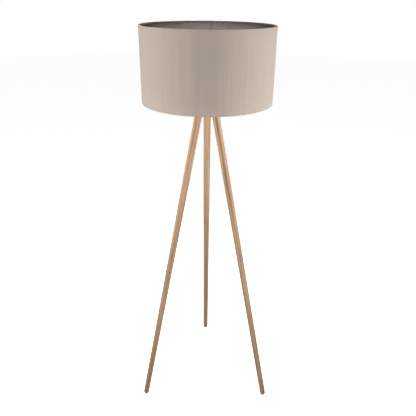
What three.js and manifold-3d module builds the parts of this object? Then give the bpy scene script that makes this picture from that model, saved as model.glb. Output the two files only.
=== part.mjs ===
// Tripod floor lamp: three tapered round oak legs screwed into a turned hub, an E27 lampholder on a
// threaded tube, an LED bulb, and a fabric drum shade held on the lampholder by a screw ring.
// Millimetres, +Z up. The floor is z = 0 and the origin is the middle of the lamp's footprint box.
import * as THREE from 'three';
import { mergeVertices } from 'three/addons/utils/BufferGeometryUtils.js';
import Module from 'manifold-3d';

const wasm = await Module();
wasm.setup();

// ---------------------------------------------------------------- driving dimensions
const GAP = 0.3; // clearance between touching pieces
const LEG_AZIMUTHS = { rear: 90, left: 210, right: 330 }; // degrees round the column

// overall
const TOTAL_HEIGHT = 1483; // floor to the shade's top edge
const SHADE_R = 225;
const SHADE_HEIGHT = 248;
const LEG_LEAN = THREE.MathUtils.degToRad(12.2); // leg from the vertical

// legs
const LEG_TOP_D = 26.5;
const LEG_FOOT_D = 21.5;
const LEG_CHAMFER = 1.2;
const LEG_SIDES = 18;
const PAD_D = 10; // felt pad under each foot
const PAD_T = 1.5;

// leg fixings: a hanger bolt in the leg, and an insert nut in the hub
const STUD_D = 8;
const STUD_IN_LEG = 30;
const STUD_IN_HUB = 14;
const INSERT_WALL = 2;
const INSERT_LENGTH = 15;
const INSERT_FLANGE = 1.5; // how far the flange stands out past the insert
const INSERT_FLANGE_T = 1.5;

// hub
const SEAT_DROP = 18.6; // leg seats below the shade's lower edge
const SEAT_SPACING = 16.5; // column axis to the nearest side of a leg's top
const SOCKET_DEPTH = 7; // how far a leg's top sits in the hub
const HUB_WALL = 6.5; // outside the leg sockets
const HUB_HEIGHT = 42;
const HUB_FILLET = 5;
const HUB_BEVEL = 2; // round the hub's lower edge
const HUB_LAND_R = 14; // flat middle of the conical underside
const HUB_SIDES = 48;

// threaded tube up the middle, with its nuts, washers and cord bush
const TUBE_D = 10;
const TUBE_WALL = 1.2;
const NUT_EXTRA = 4; // nut width across flats over the tube
const NUT_HEIGHT = 4;
const WASHER_T = 1.5;
const LOWER_WASHER_EXTRA = 8;
const UPPER_WASHER_EXTRA = 16;
const RECESS_CLEARANCE = 1; // round the lower washer
const RECESS_DEPTH = 9;
const BUSH_WALL = 3;
const BUSH_HEIGHT = 12;
const BUSH_FLOOR = 3.5;
const BUSH_MOUTH_ROUND = 1.5;

// lampholder, sized from the bulb's screw cap
const BULB_CAP_D = 26;
const THREAD_CLEARANCE = 0.4;
const THREAD_DEPTH = 0.9;
const SCREW_SHELL_WALL = 0.8;
const SCREW_SHELL_HEIGHT = 20;
const SCREW_TURNS = 4;
const SLEEVE_AIR = 2.3; // between the screw shell and the sleeve
const SLEEVE_WALL = 2.4;
const SLEEVE_HEIGHT = 36;
const SLEEVE_LIP_T = 3; // inner lip that holds the core down
const FLANGE_REACH = 3.7; // shoulder that carries the shade
const FLANGE_T = 3;
const CAP_NECK_WALL = 3;
const CAP_NECK_HEIGHT = 8;
const CAP_HEIGHT = 27;
const CAP_WALL = 2;
const CAP_SHOULDER = 9;
const CAP_LEDGE = 1.5; // inner ledge under the core
const GRUB_D = 3;
const GRUB_LENGTH = 6;
const CORE_REACH = 0.9; // core radius over the screw shell's
const CORE_HEIGHT = 9;
const CORE_POCKET_D = 12;
const CORE_POCKET_DEPTH = 3;
const CONTACT_WIDTH = 5;
const CONTACT_LENGTH = 9;
const CONTACT_T = 0.6;
const TERMINAL_D = 5;
const TERMINAL_LENGTH = 4;
const TERMINAL_INSET = 5; // from the core's edge to a terminal's middle

// screw ring that clamps the shade, and its washer
const RING_REACH = 8.1; // ring's rim over its bore
const RING_HEIGHT = 10;
const RING_WALL = 3;
const RING_LIP_T = 2.5;
const RING_RIBS = 12;
const RING_RIB_DEPTH = 1.6;
const RING_RIB_WIDTH = 3;
const WASHER_INSET = 2; // ring washer's edge inside the ring's rim
const RING_WASHER_T = 1;

// bulb, measured up from its tip contact
const BULB_LENGTH = 110;
const BULB_D = 60;
const BULB_CAP_WALL = 0.6;
const BULB_CAP_START = 5;
const BULB_CAP_HEIGHT = 20;
const BULB_CAP_TAPER = 2.5;
const BULB_TIP_D = 9;
const BULB_TIP_T = 1.2;
const BULB_BODY_WALL = 2;
const BULB_BODY_HEIGHT = 34;
const BULB_PLUG_DEPTH = 8; // body inside the screw cap
const BULB_RIM_D = 54; // where the body meets the diffuser
const DIFFUSER_WALL = 1.2;
const LED_BOARD_T = 1.6;
const BULB_SIDES = 28;

// shade
const FABRIC_T = 0.7;
const LINER_T = 0.7;
const WIRE_D = 3.2; // rings and spider arms
const HEM_DEPTH = 5.5; // fabric turned in over each ring
const HEM_ROUND = 1;
const SHADE_SIDES = 60;
const PLATE_REACH = 2.5; // spider plate's rim past the ring's
const PLATE_T = 1.5;
const ARM_NOTCH = 6; // slit in the lower hem for each arm
const ARM_LEVEL = 8; // level stretch at each end of an arm
const ARM_BEND = 12; // and the bend after it

// how many flat faces stand for a round one
const SCREW_SIDES = 10;
const STUD_SIDES = 12;
const FIXING_SIDES = 16; // tube, nuts, inserts, pads
const DISC_SIDES = 20;
const SOCKET_SIDES = 24;
const HOLDER_SIDES = 28;
const SLEEVE_SIDES = 32;
const RING_SIDES = 36;

// ---------------------------------------------------------------- derived places
const SHADE_TOP_Z = TOTAL_HEIGHT;
const SHADE_BOTTOM_Z = TOTAL_HEIGHT - SHADE_HEIGHT;

const SEAT_RADIUS = SEAT_SPACING + LEG_TOP_D / 2;
const SEAT_Z = SHADE_BOTTOM_Z - SEAT_DROP;
const FOOT_RADIUS = SEAT_RADIUS + SEAT_Z * Math.tan(LEG_LEAN); // a leg's own axis at the floor
const SEAT_S = SEAT_Z / Math.cos(LEG_LEAN); // along the leg, from the floor
const LEG_TOP_S = SEAT_S - GAP;
const DOME_R = LEG_FOOT_D / 2;
const DOME_LIFT = PAD_T + GAP + Math.sqrt(DOME_R ** 2 - (PAD_D / 2) ** 2);
const DOME_S = DOME_LIFT / Math.cos(LEG_LEAN); // along the leg, from the floor to the dome's centre
const DOME_RADIUS_OUT = FOOT_RADIUS - DOME_S * Math.sin(LEG_LEAN);
const INSERT_R = STUD_D / 2 + INSERT_WALL;

const HUB_R = SEAT_RADIUS + LEG_TOP_D / 2 + HUB_WALL;
const HUB_CONE = Math.tan(LEG_LEAN);
const HUB_BOTTOM_Z =
  SEAT_Z - SOCKET_DEPTH * Math.cos(LEG_LEAN) - (SEAT_RADIUS - HUB_LAND_R) * HUB_CONE;
const HUB_TOP_Z = HUB_BOTTOM_Z + HUB_HEIGHT;
const RECESS_TOP_Z = HUB_BOTTOM_Z + RECESS_DEPTH;
const LOWER_WASHER_R = (TUBE_D + LOWER_WASHER_EXTRA) / 2;
const UPPER_WASHER_R = (TUBE_D + UPPER_WASHER_EXTRA) / 2;
const RECESS_R = LOWER_WASHER_R + RECESS_CLEARANCE;
const TUBE_BORE_R = TUBE_D / 2 - TUBE_WALL;
const TUBE_HOLE_R = TUBE_D / 2 + GAP; // through everything on the tube
const NUT_CORNER_R = (TUBE_D + NUT_EXTRA) / 2 / Math.cos(Math.PI / 6);

const UPPER_WASHER_Z = HUB_TOP_Z + GAP;
const UPPER_NUT_Z = UPPER_WASHER_Z + WASHER_T + GAP;
const LOWER_WASHER_Z = RECESS_TOP_Z - GAP - WASHER_T;
const LOWER_NUT_Z = LOWER_WASHER_Z - GAP - NUT_HEIGHT;
const BUSH_Z = LOWER_NUT_Z - GAP - BUSH_HEIGHT;
const TUBE_BOTTOM_Z = BUSH_Z + BUSH_FLOOR + GAP;
const CAP_Z = UPPER_NUT_Z + NUT_HEIGHT + GAP;
const CAP_NECK_TOP_Z = CAP_Z + CAP_NECK_HEIGHT;
const CAP_TOP_Z = CAP_Z + CAP_HEIGHT;
const TUBE_TOP_Z = CAP_NECK_TOP_Z - 1;

const SHELL_R = BULB_CAP_D / 2 + THREAD_CLEARANCE + THREAD_DEPTH + SCREW_SHELL_WALL;
const SLEEVE_BORE_R = SHELL_R + SLEEVE_AIR;
const SLEEVE_R = SLEEVE_BORE_R + SLEEVE_WALL;
const CAP_R = SLEEVE_R - GAP;
const FLANGE_R = SLEEVE_R + FLANGE_REACH;
const CORE_R = SHELL_R + CORE_REACH;
const CORE_SEAT_R = CORE_R + GAP;
const TERMINAL_RADIUS = CORE_R - TERMINAL_INSET;
const SLEEVE_HOLE_R = SLEEVE_R + 2 * GAP; // through everything that slides over the sleeve
const RING_R = SLEEVE_HOLE_R + RING_REACH;
const PLATE_R = RING_R + PLATE_REACH;

const SLEEVE_Z = CAP_TOP_Z + GAP;
const SLEEVE_TOP_Z = SLEEVE_Z + SLEEVE_HEIGHT;
const CORE_Z = CAP_TOP_Z - CORE_HEIGHT / 2;
const CORE_TOP_Z = CORE_Z + CORE_HEIGHT;
const FLANGE_TOP_Z = SLEEVE_Z + FLANGE_T;
const PLATE_Z = FLANGE_TOP_Z + GAP;
const RING_WASHER_Z = PLATE_Z + PLATE_T + GAP;
const RING_Z = RING_WASHER_Z + RING_WASHER_T + GAP;

const POCKET_FLOOR_Z = CORE_TOP_Z - CORE_POCKET_DEPTH;
const CONTACT_Z = POCKET_FLOOR_Z + GAP;
const BULB_Z = CONTACT_Z + CONTACT_T + GAP;
const BULB_NECK_Z = BULB_Z + BULB_CAP_START + BULB_CAP_HEIGHT + GAP;
const BULB_NECK_R = BULB_CAP_D / 2 + 1;
const BULB_RIM_Z = BULB_NECK_Z + BULB_BODY_HEIGHT;
const BULB_RIM_INNER_R = BULB_RIM_D / 2 - BULB_BODY_WALL;

const LINER_R = SHADE_R - FABRIC_T - GAP;
const RING_WIRE_R = LINER_R - LINER_T - GAP - WIRE_D / 2;
const HEM_R = RING_WIRE_R - WIRE_D / 2 - GAP; // outside of the turned-in hem
const TOP_WIRE_Z = SHADE_TOP_Z - FABRIC_T - GAP - WIRE_D / 2;
const BOTTOM_WIRE_Z = SHADE_BOTTOM_Z + FABRIC_T + GAP + WIRE_D / 2;

// The footprint box reaches from the shade's front to the rear foot's back.
const COLUMN_Y = -(DOME_RADIUS_OUT + DOME_R - SHADE_R) / 2;

// ---------------------------------------------------------------- materials
const finish = (color, roughness, metalness = 0) =>
  new THREE.MeshStandardMaterial({ color, roughness, metalness });

const OAK = finish(0xc79c6e, 0.55);
const FELT = finish(0x5c4632, 0.95);
const ZINC = finish(0xb9bbbd, 0.4, 0.9);
const BRASS = finish(0xc9a75a, 0.35, 0.95);
const WHITE_PLASTIC = finish(0xf1efe9, 0.35);
const CERAMIC = finish(0xe9e4d8, 0.6);
const NICKEL = finish(0xcfcfcb, 0.3, 0.95);
const OPAL = finish(0xfaf8f2, 0.3);
const BLACK_GLASS = finish(0x1a1a1c, 0.2);
const LED_WHITE = finish(0xf4f2e8, 0.5);
const FABRIC = finish(0xb9a999, 0.9);
const LINER = finish(0x8f8379, 0.6);
const WHITE_WIRE = finish(0xe8e6e0, 0.45);

// ---------------------------------------------------------------- helpers
// A profile point as [radius, height].
const at = (r, z) => new THREE.Vector2(r, z);

// Points of a round stretch of profile, from one angle to another in degrees.
function arc(r, z, radius, from, to, steps) {
  const points = [];
  for (let i = 0; i <= steps; i += 1) {
    const angle = THREE.MathUtils.degToRad(from + ((to - from) * i) / steps);
    points.push(at(r + radius * Math.cos(angle), z + radius * Math.sin(angle)));
  }
  return points;
}

// Turns an anticlockwise profile round Z. It starts and ends on the axis, or closes on itself.
function turned(points, sides) {
  const onAxis = points[0].x === 0 && points[points.length - 1].x === 0;
  const profile = onAxis ? points : [...points, points[0].clone()];
  return new THREE.LatheGeometry(profile, sides).rotateX(Math.PI / 2);
}

// A plain tube or disc with a hole, standing on z.
function tubeShape(outerR, innerR, z, height, sides) {
  const top = z + height;
  return turned([at(innerR, z), at(outerR, z), at(outerR, top), at(innerR, top)], sides);
}

// A plain round bar standing on z.
function barShape(radius, z, height, sides) {
  return turned([at(0, z), at(radius, z), at(radius, z + height), at(0, z + height)], sides);
}

// A box from its size and middle.
function boxShape(size, middle) {
  return new THREE.BoxGeometry(...size).translate(...middle);
}

// A closed wire ring round the column.
function wireRing(radius, z) {
  return turned(arc(radius, z, WIRE_D / 2, 0, 315, 7), SHADE_SIDES);
}

// three.js geometry to a manifold-3d solid.
function solid(geometry) {
  const bare = geometry.index ? geometry.clone() : geometry;
  bare.deleteAttribute('normal');
  bare.deleteAttribute('uv');
  const merged = mergeVertices(bare, 1e-4);
  const vertProperties = new Float32Array(merged.attributes.position.array);
  const triVerts = new Uint32Array(merged.index.array);
  return new wasm.Manifold(new wasm.Mesh({ numProp: 3, vertProperties, triVerts }));
}

// A manifold-3d solid back to a three.js geometry with flat faces.
function shape(body) {
  const mesh = body.getMesh();
  const geometry = new THREE.BufferGeometry();
  geometry.setAttribute('position', new THREE.BufferAttribute(mesh.vertProperties, 3));
  geometry.setIndex(new THREE.BufferAttribute(mesh.triVerts, 1));
  const flat = geometry.toNonIndexed();
  flat.computeVertexNormals();
  return flat;
}

// One geometry with others cut out of it.
const cut = (geometry, ...tools) =>
  shape(tools.reduce((body, tool) => body.subtract(solid(tool)), solid(geometry)));

// Several overlapping geometries as one piece.
const joined = (geometry, ...others) =>
  shape(others.reduce((body, other) => body.add(solid(other)), solid(geometry)));

function piece(name, geometry, material) {
  const mesh = new THREE.Mesh(geometry, material);
  mesh.name = name;
  return mesh;
}

// The place of a leg's own frame: at the floor, with Z up along the leg.
function legFrame(azimuth) {
  return new THREE.Matrix4()
    .makeRotationZ(THREE.MathUtils.degToRad(azimuth))
    .multiply(new THREE.Matrix4().makeTranslation(FOOT_RADIUS, 0, 0))
    .multiply(new THREE.Matrix4().makeRotationY(-LEG_LEAN));
}

// ---------------------------------------------------------------- legs
// A tapered round leg with a domed foot, flattened under the pad, and a bore for its stud.
function legShape() {
  const topR = LEG_TOP_D / 2;
  const boreR = STUD_D / 2 + GAP;
  const boreFloor = LEG_TOP_S - STUD_IN_LEG - 2 * GAP;
  const profile = [
    ...arc(0, DOME_S, DOME_R, -90, 0, 4),
    at(topR, LEG_TOP_S - LEG_CHAMFER),
    at(topR - LEG_CHAMFER, LEG_TOP_S),
    at(boreR, LEG_TOP_S),
    at(boreR, boreFloor),
    at(0, boreFloor),
  ];
  profile[0].x = 0;
  // The floor side of the dome, level with the floor once the leg leans.
  const level = boxShape([4 * DOME_R, 4 * DOME_R, 2 * DOME_R], [0, 0, PAD_T + GAP - DOME_R]);
  level.rotateY(LEG_LEAN);
  return cut(turned(profile, LEG_SIDES), level);
}

// Hanger bolt: wood thread in the leg, machine thread in the hub.
function studShape() {
  const r = STUD_D / 2;
  const bottom = LEG_TOP_S - STUD_IN_LEG;
  const top = SEAT_S + STUD_IN_HUB;
  return turned([
    at(0, bottom), at(r / 2, bottom + 1), at(r, bottom + r), at(r, top - 1),
    at(r - 1, top), at(0, top),
  ], STUD_SIDES);
}

// Flanged insert nut, its flange flush in the seat.
function insertShape() {
  const bottom = SEAT_S + GAP;
  const neck = bottom + INSERT_FLANGE_T;
  const top = bottom + INSERT_LENGTH;
  const bore = STUD_D / 2 + GAP;
  const flangeR = INSERT_R + INSERT_FLANGE;
  return turned([
    at(bore, bottom), at(flangeR, bottom), at(flangeR, neck),
    at(INSERT_R, neck), at(INSERT_R, top), at(bore, top),
  ], FIXING_SIDES);
}

function makeLeg(side, azimuth) {
  const group = new THREE.Group();
  const sloped = new THREE.Group();
  sloped.applyMatrix4(legFrame(azimuth));
  sloped.add(
    piece(`leg_${side}`, legShape(), OAK),
    piece(`leg_stud_${side}`, studShape(), ZINC),
    piece(`insert_nut_${side}`, insertShape(), BRASS),
  );
  const upright = new THREE.Group();
  upright.rotation.z = THREE.MathUtils.degToRad(azimuth);
  const pad = piece(`foot_pad_${side}`, barShape(PAD_D / 2, 0, PAD_T, FIXING_SIDES), FELT);
  pad.position.x = DOME_RADIUS_OUT;
  upright.add(pad);
  group.add(sloped, upright);
  return group;
}

// ---------------------------------------------------------------- hub
// Turned puck with a conical underside square to the legs, bored for the legs, inserts and tube.
function hubShape() {
  const edgeZ = HUB_BOTTOM_Z + (HUB_R - HUB_LAND_R) * HUB_CONE;
  const profile = [
    at(0, HUB_BOTTOM_Z),
    at(HUB_LAND_R, HUB_BOTTOM_Z),
    at(HUB_R - HUB_BEVEL, edgeZ - HUB_BEVEL * HUB_CONE),
    at(HUB_R, edgeZ + HUB_BEVEL),
    ...arc(HUB_R - HUB_FILLET, HUB_TOP_Z - HUB_FILLET, HUB_FILLET, 0, 90, 4),
    at(0, HUB_TOP_Z),
  ];
  const tools = [
    barShape(TUBE_HOLE_R, HUB_BOTTOM_Z - 1, HUB_HEIGHT + 2, DISC_SIDES),
    barShape(RECESS_R, HUB_BOTTOM_Z - 1, RECESS_DEPTH + 1, SOCKET_SIDES),
  ];
  for (const azimuth of Object.values(LEG_AZIMUTHS)) {
    const reach = 3 * SOCKET_DEPTH; // well clear of the cone
    const socket = barShape(LEG_TOP_D / 2 + GAP, SEAT_S - reach, reach, SOCKET_SIDES);
    const flangeR = INSERT_R + INSERT_FLANGE + GAP;
    const flangeDepth = 1 + 2 * GAP + INSERT_FLANGE_T;
    const boreDepth = 1 + 2 * GAP + INSERT_LENGTH;
    const flangePocket = barShape(flangeR, SEAT_S - 1, flangeDepth, FIXING_SIDES);
    const insertBore = barShape(INSERT_R + GAP, SEAT_S - 1, boreDepth, FIXING_SIDES);
    for (const tool of [socket, flangePocket, insertBore]) {
      tools.push(tool.applyMatrix4(legFrame(azimuth)));
    }
  }
  return cut(turned(profile, HUB_SIDES), ...tools);
}

// ---------------------------------------------------------------- threaded tube and its fixings
function nutShape(z) {
  const hole = barShape(TUBE_HOLE_R, z - 1, NUT_HEIGHT + 2, FIXING_SIDES);
  return cut(barShape(NUT_CORNER_R, z, NUT_HEIGHT, 6), hole);
}

// Plastic cord bush screwed on the tube's lower end, with a rounded mouth for the cord.
function bushShape() {
  const r = TUBE_D / 2 + BUSH_WALL;
  const floor = BUSH_Z + BUSH_FLOOR;
  const top = BUSH_Z + BUSH_HEIGHT;
  return turned([
    at(TUBE_BORE_R + BUSH_MOUTH_ROUND, BUSH_Z), at(r - BUSH_WALL / 2, BUSH_Z),
    at(r, BUSH_Z + BUSH_WALL), at(r, top), at(TUBE_HOLE_R, top), at(TUBE_HOLE_R, floor),
    at(TUBE_BORE_R, floor), at(TUBE_BORE_R, BUSH_Z + BUSH_MOUTH_ROUND),
  ], DISC_SIDES);
}

function makeColumn() {
  const group = new THREE.Group();
  const length = TUBE_TOP_Z - TUBE_BOTTOM_Z;
  const tube = tubeShape(TUBE_D / 2, TUBE_BORE_R, TUBE_BOTTOM_Z, length, FIXING_SIDES);
  const lowerWasher = tubeShape(LOWER_WASHER_R, TUBE_HOLE_R, LOWER_WASHER_Z, WASHER_T, DISC_SIDES);
  const upperWasher = tubeShape(UPPER_WASHER_R, TUBE_HOLE_R, UPPER_WASHER_Z, WASHER_T, SOCKET_SIDES);
  group.add(
    piece('hub', hubShape(), OAK),
    piece('threaded_tube', tube, ZINC),
    piece('lower_washer', lowerWasher, ZINC),
    piece('lower_nut', nutShape(LOWER_NUT_Z), ZINC),
    piece('upper_washer', upperWasher, ZINC),
    piece('upper_nut', nutShape(UPPER_NUT_Z), ZINC),
    piece('cord_bush', bushShape(), WHITE_PLASTIC),
  );
  return group;
}

// ---------------------------------------------------------------- lampholder
// Domed lower cap with a threaded neck, hollow above for the terminals, with a ledge for the core.
function capShape() {
  const neckR = TUBE_HOLE_R + CAP_NECK_WALL;
  const arcR = CAP_R - CAP_SHOULDER;
  const ledgeZ = CORE_Z - GAP;
  const body = turned([
    at(TUBE_HOLE_R, CAP_Z), at(neckR, CAP_Z), at(neckR, CAP_NECK_TOP_Z - CAP_WALL),
    ...arc(arcR, CAP_NECK_TOP_Z - CAP_WALL + CAP_SHOULDER, CAP_SHOULDER, -60, 0, 3),
    at(CAP_R, CAP_TOP_Z), at(CORE_SEAT_R, CAP_TOP_Z), at(CORE_SEAT_R, ledgeZ),
    at(CORE_R - CAP_LEDGE, ledgeZ), at(CORE_R - CAP_LEDGE, ledgeZ - CAP_LEDGE),
    ...arc(arcR, CAP_NECK_TOP_Z + CAP_SHOULDER, CAP_SHOULDER - CAP_WALL, 0, -60, 3),
    at(TUBE_HOLE_R, CAP_NECK_TOP_Z),
  ], HOLDER_SIDES);
  return cut(body, grubShape(GRUB_D / 2 + GAP, 4 * CAP_NECK_WALL));
}

// A bar through the back of the cap's neck, up to the tube.
function grubShape(radius, length) {
  return barShape(radius, 0, length, SCREW_SIDES)
    .rotateX(-Math.PI / 2)
    .translate(0, TUBE_D / 2 + 2 * GAP, CAP_Z + CAP_NECK_HEIGHT / 2 - 1);
}

// Insulating core: centre pocket above for the contact, and holes for two terminal screws below.
function coreShape() {
  const pocket = barShape(CORE_POCKET_D / 2, POCKET_FLOOR_Z, CORE_POCKET_DEPTH + 1, DISC_SIDES);
  const tools = [-1, 1].map((side) =>
    barShape(TERMINAL_D / 2 + GAP, CORE_Z - 1, 1 + TERMINAL_LENGTH / 2 + GAP, SCREW_SIDES)
      .translate(0, side * TERMINAL_RADIUS, 0));
  return cut(barShape(CORE_R, CORE_Z, CORE_HEIGHT, HOLDER_SIDES), pocket, ...tools);
}

function terminalShape(side) {
  const z = CORE_Z + TERMINAL_LENGTH / 2 - TERMINAL_LENGTH;
  const slot = boxShape([TERMINAL_D + 2, 1, 2], [0, side * TERMINAL_RADIUS, z]);
  const head = barShape(TERMINAL_D / 2, z, TERMINAL_LENGTH, SCREW_SIDES);
  return cut(head.translate(0, side * TERMINAL_RADIUS, 0), slot);
}

// Outer sleeve, with the shoulder that carries the shade and an inner lip that holds the core.
function sleeveShape() {
  const lipZ = CORE_TOP_Z + GAP;
  const lipR = SHELL_R + GAP;
  return turned([
    at(CORE_SEAT_R, SLEEVE_Z), at(FLANGE_R, SLEEVE_Z), at(FLANGE_R, FLANGE_TOP_Z),
    at(SLEEVE_R, FLANGE_TOP_Z), at(SLEEVE_R, SLEEVE_TOP_Z - 1), at(SLEEVE_R - 1, SLEEVE_TOP_Z),
    at(SLEEVE_BORE_R, SLEEVE_TOP_Z), at(SLEEVE_BORE_R, lipZ + SLEEVE_LIP_T),
    at(lipR, lipZ + SLEEVE_LIP_T), at(lipR, lipZ), at(CORE_SEAT_R, lipZ),
  ], SLEEVE_SIDES);
}

// Rolled metal shell that the bulb screws into: rounded turns of thread as plain rings.
function screwShellShape() {
  const z = CORE_TOP_Z + GAP;
  const pitch = SCREW_SHELL_HEIGHT / SCREW_TURNS;
  const outside = [at(SHELL_R, z)];
  for (let i = 0; i < SCREW_TURNS; i += 1) {
    outside.push(at(SHELL_R - THREAD_DEPTH, z + (i + 0.5) * pitch));
    outside.push(at(SHELL_R, z + (i + 1) * pitch));
  }
  const inside = outside.map((p) => at(p.x - SCREW_SHELL_WALL, p.y)).reverse();
  return turned([...outside, ...inside], SOCKET_SIDES);
}

// Flat strip under the bulb's tip.
function contactShape() {
  return boxShape([CONTACT_LENGTH, CONTACT_WIDTH, CONTACT_T], [0, 0, CONTACT_Z + CONTACT_T / 2]);
}

// Internally threaded ring with a top lip and a ribbed grip.
function ringShape() {
  const lipTop = RING_Z + RING_LIP_T;
  const top = RING_Z + RING_HEIGHT;
  const grip = SLEEVE_HOLE_R + RING_WALL;
  const body = turned([
    at(SLEEVE_HOLE_R, RING_Z), at(RING_R - 1, RING_Z), at(RING_R, RING_Z + 1), at(RING_R, lipTop),
    at(grip + 1, lipTop + 1), at(grip, top), at(SLEEVE_HOLE_R, top),
  ], RING_SIDES);
  const ribHeight = RING_HEIGHT - RING_LIP_T;
  const ribs = [];
  for (let i = 0; i < RING_RIBS; i += 1) {
    const size = [RING_RIB_DEPTH + 1, RING_RIB_WIDTH, ribHeight];
    const rib = boxShape(size, [grip + RING_RIB_DEPTH / 2, 0, lipTop - 1 + ribHeight / 2]);
    ribs.push(rib.rotateZ((2 * Math.PI * i) / RING_RIBS));
  }
  return joined(body, ...ribs);
}

function makeLampholder() {
  const group = new THREE.Group();
  group.add(
    piece('lampholder_cap', capShape(), WHITE_PLASTIC),
    piece('cap_grub_screw', grubShape(GRUB_D / 2, GRUB_LENGTH), ZINC),
    piece('lampholder_core', coreShape(), CERAMIC),
    piece('terminal_screw_a', terminalShape(-1), BRASS),
    piece('terminal_screw_b', terminalShape(1), BRASS),
    piece('centre_contact', contactShape(), BRASS),
    piece('screw_shell', screwShellShape(), NICKEL),
    piece('lampholder_sleeve', sleeveShape(), WHITE_PLASTIC),
  );
  return group;
}

function makeShadeRing() {
  const group = new THREE.Group();
  const rim = RING_R - WASHER_INSET;
  const washer = tubeShape(rim, SLEEVE_HOLE_R, RING_WASHER_Z, RING_WASHER_T, SLEEVE_SIDES);
  group.add(
    piece('ring_washer', washer, WHITE_PLASTIC),
    piece('shade_ring', ringShape(), WHITE_PLASTIC),
  );
  return group;
}

// ---------------------------------------------------------------- bulb
// Screw cap in the shape of the thread it runs in: rounded rings round a thin metal wall.
function bulbCapShape() {
  const z = BULB_Z + BULB_CAP_START;
  const r = BULB_CAP_D / 2;
  const rootR = r - THREAD_DEPTH;
  const taperR = r - BULB_CAP_TAPER;
  const threadZ = z + BULB_CAP_TAPER;
  const pitch = (BULB_CAP_HEIGHT - 2 * BULB_CAP_TAPER) / SCREW_TURNS;
  const outside = [at(taperR, z), at(rootR, threadZ)];
  for (let i = 0; i < SCREW_TURNS; i += 1) {
    outside.push(at(r, threadZ + (i + 0.5) * pitch), at(rootR, threadZ + (i + 1) * pitch));
  }
  outside.push(at(rootR, z + BULB_CAP_HEIGHT));
  const inside = [
    at(rootR - BULB_CAP_WALL, z + BULB_CAP_HEIGHT),
    at(rootR - BULB_CAP_WALL, threadZ + BULB_CAP_WALL),
    at(taperR - BULB_CAP_WALL, z + BULB_CAP_WALL),
  ];
  return turned([...outside, ...inside], SOCKET_SIDES);
}

// Black glass cone between the cap and the tip contact.
function bulbInsulatorShape() {
  const bottom = BULB_Z + BULB_TIP_T + GAP;
  const top = BULB_Z + BULB_CAP_START - GAP;
  const topR = BULB_CAP_D / 2 - BULB_CAP_TAPER;
  return turned([at(0, bottom), at(BULB_TIP_D / 2, bottom), at(topR, top), at(0, top)], DISC_SIDES);
}

// Plastic body: a plug in the cap, then a flare up to the diffuser, hollow for the driver.
function bulbBodyShape() {
  const plugR = BULB_CAP_D / 2 - THREAD_DEPTH - BULB_CAP_WALL - GAP;
  const rimR = BULB_RIM_D / 2;
  // The flare leaves the neck and meets the rim upright.
  const flare = [];
  const steps = 5;
  for (let i = 0; i <= steps; i += 1) {
    const t = i / steps;
    const r = BULB_NECK_R + (rimR - BULB_NECK_R) * (t * t * (3 - 2 * t));
    flare.push(at(r, BULB_NECK_Z + BULB_BODY_HEIGHT * t));
  }
  const inside = flare.slice(1).reverse().map((p) => at(p.x - BULB_BODY_WALL, p.y));
  const plugZ = BULB_NECK_Z - BULB_PLUG_DEPTH;
  return turned([
    at(plugR - BULB_BODY_WALL, plugZ), at(plugR, plugZ), at(plugR, BULB_NECK_Z),
    ...flare, ...inside, at(plugR - BULB_BODY_WALL, BULB_NECK_Z + BULB_BODY_WALL),
  ], BULB_SIDES);
}

// Opal dome, open underneath.
function diffuserShape() {
  const rimZ = BULB_RIM_Z + GAP;
  const r = BULB_D / 2;
  const middleZ = BULB_Z + BULB_LENGTH - r;
  const rimDegrees = -THREE.MathUtils.radToDeg(Math.asin((middleZ - rimZ) / r));
  const outside = arc(0, middleZ, r, rimDegrees, 90, 9);
  const inside = arc(0, middleZ, r - DIFFUSER_WALL, 90, rimDegrees, 9);
  outside[outside.length - 1].x = 0;
  inside[0].x = 0;
  inside[inside.length - 1].y = rimZ;
  return new THREE.LatheGeometry([...inside, ...outside], BULB_SIDES).rotateX(Math.PI / 2);
}

// Round board just inside the body's rim, on the step of the flare.
function ledBoardShape() {
  const z = BULB_RIM_Z - BULB_BODY_WALL - LED_BOARD_T;
  return barShape(BULB_RIM_INNER_R - LED_BOARD_T, z, LED_BOARD_T, DISC_SIDES);
}

function makeBulb() {
  const group = new THREE.Group();
  group.add(
    piece('bulb_tip', barShape(BULB_TIP_D / 2, BULB_Z, BULB_TIP_T, FIXING_SIDES), ZINC),
    piece('bulb_insulator', bulbInsulatorShape(), BLACK_GLASS),
    piece('bulb_cap', bulbCapShape(), NICKEL),
    piece('bulb_body', bulbBodyShape(), WHITE_PLASTIC),
    piece('bulb_led_board', ledBoardShape(), LED_WHITE),
    piece('bulb_diffuser', diffuserShape(), OPAL),
  );
  return group;
}

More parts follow.
